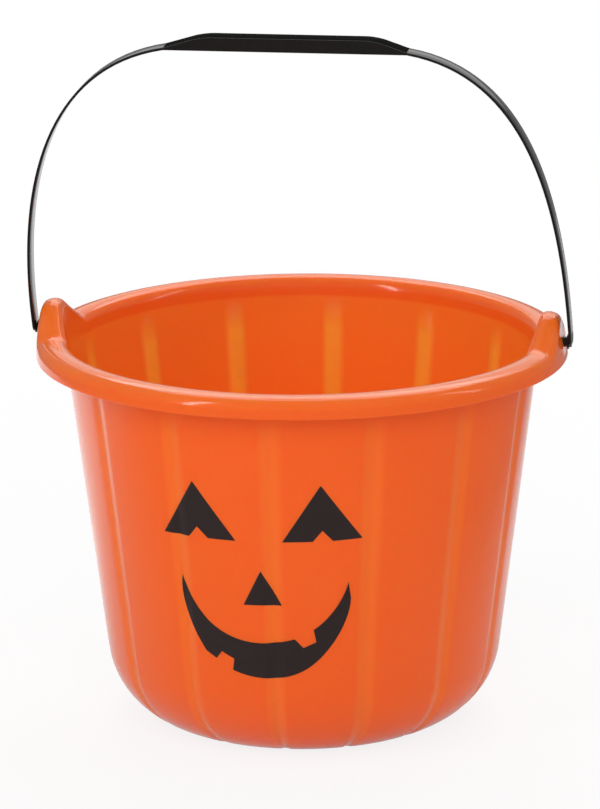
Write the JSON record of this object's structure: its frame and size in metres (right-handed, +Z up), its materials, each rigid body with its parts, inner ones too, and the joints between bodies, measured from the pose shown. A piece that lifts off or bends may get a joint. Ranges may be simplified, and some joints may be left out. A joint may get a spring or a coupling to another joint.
{
  "type": "halloween bucket",
  "caption": "Tapered pail with fluted wall, rolled rim and two hooded ears, a swinging strap handle with a channel grip, and a printed pumpkin face.",
  "frame": {"origin": "middle of the base's underside", "axes": "+Z up through the open rim, the printed face towards -Y, the handle's pivots on the X axis; the handle stands upright at rest"},
  "size_m": [0.2369, 0.23, 0.302],
  "materials": {
    "orange_plastic": "glossy, slightly translucent moulded plastic",
    "black_plastic": "semi-gloss moulded plastic",
    "black_ink": "satin printing ink"
  },
  "bodies": {
    "bucket": {"bucket_shell": "orange_plastic", "left_eye_print": "black_ink", "right_eye_print": "black_ink", "nose_print": "black_ink", "mouth_print": "black_ink"},
    "handle": {"carry_handle": "black_plastic"}
  },
  "joints": [
    {"name": "handle_swing", "type": "hinge", "parent": "bucket", "child": "handle", "pos_m": [0, 0, 0.171], "axis": [1, 0, 0], "range_deg": [-128, 128]}
  ]
}
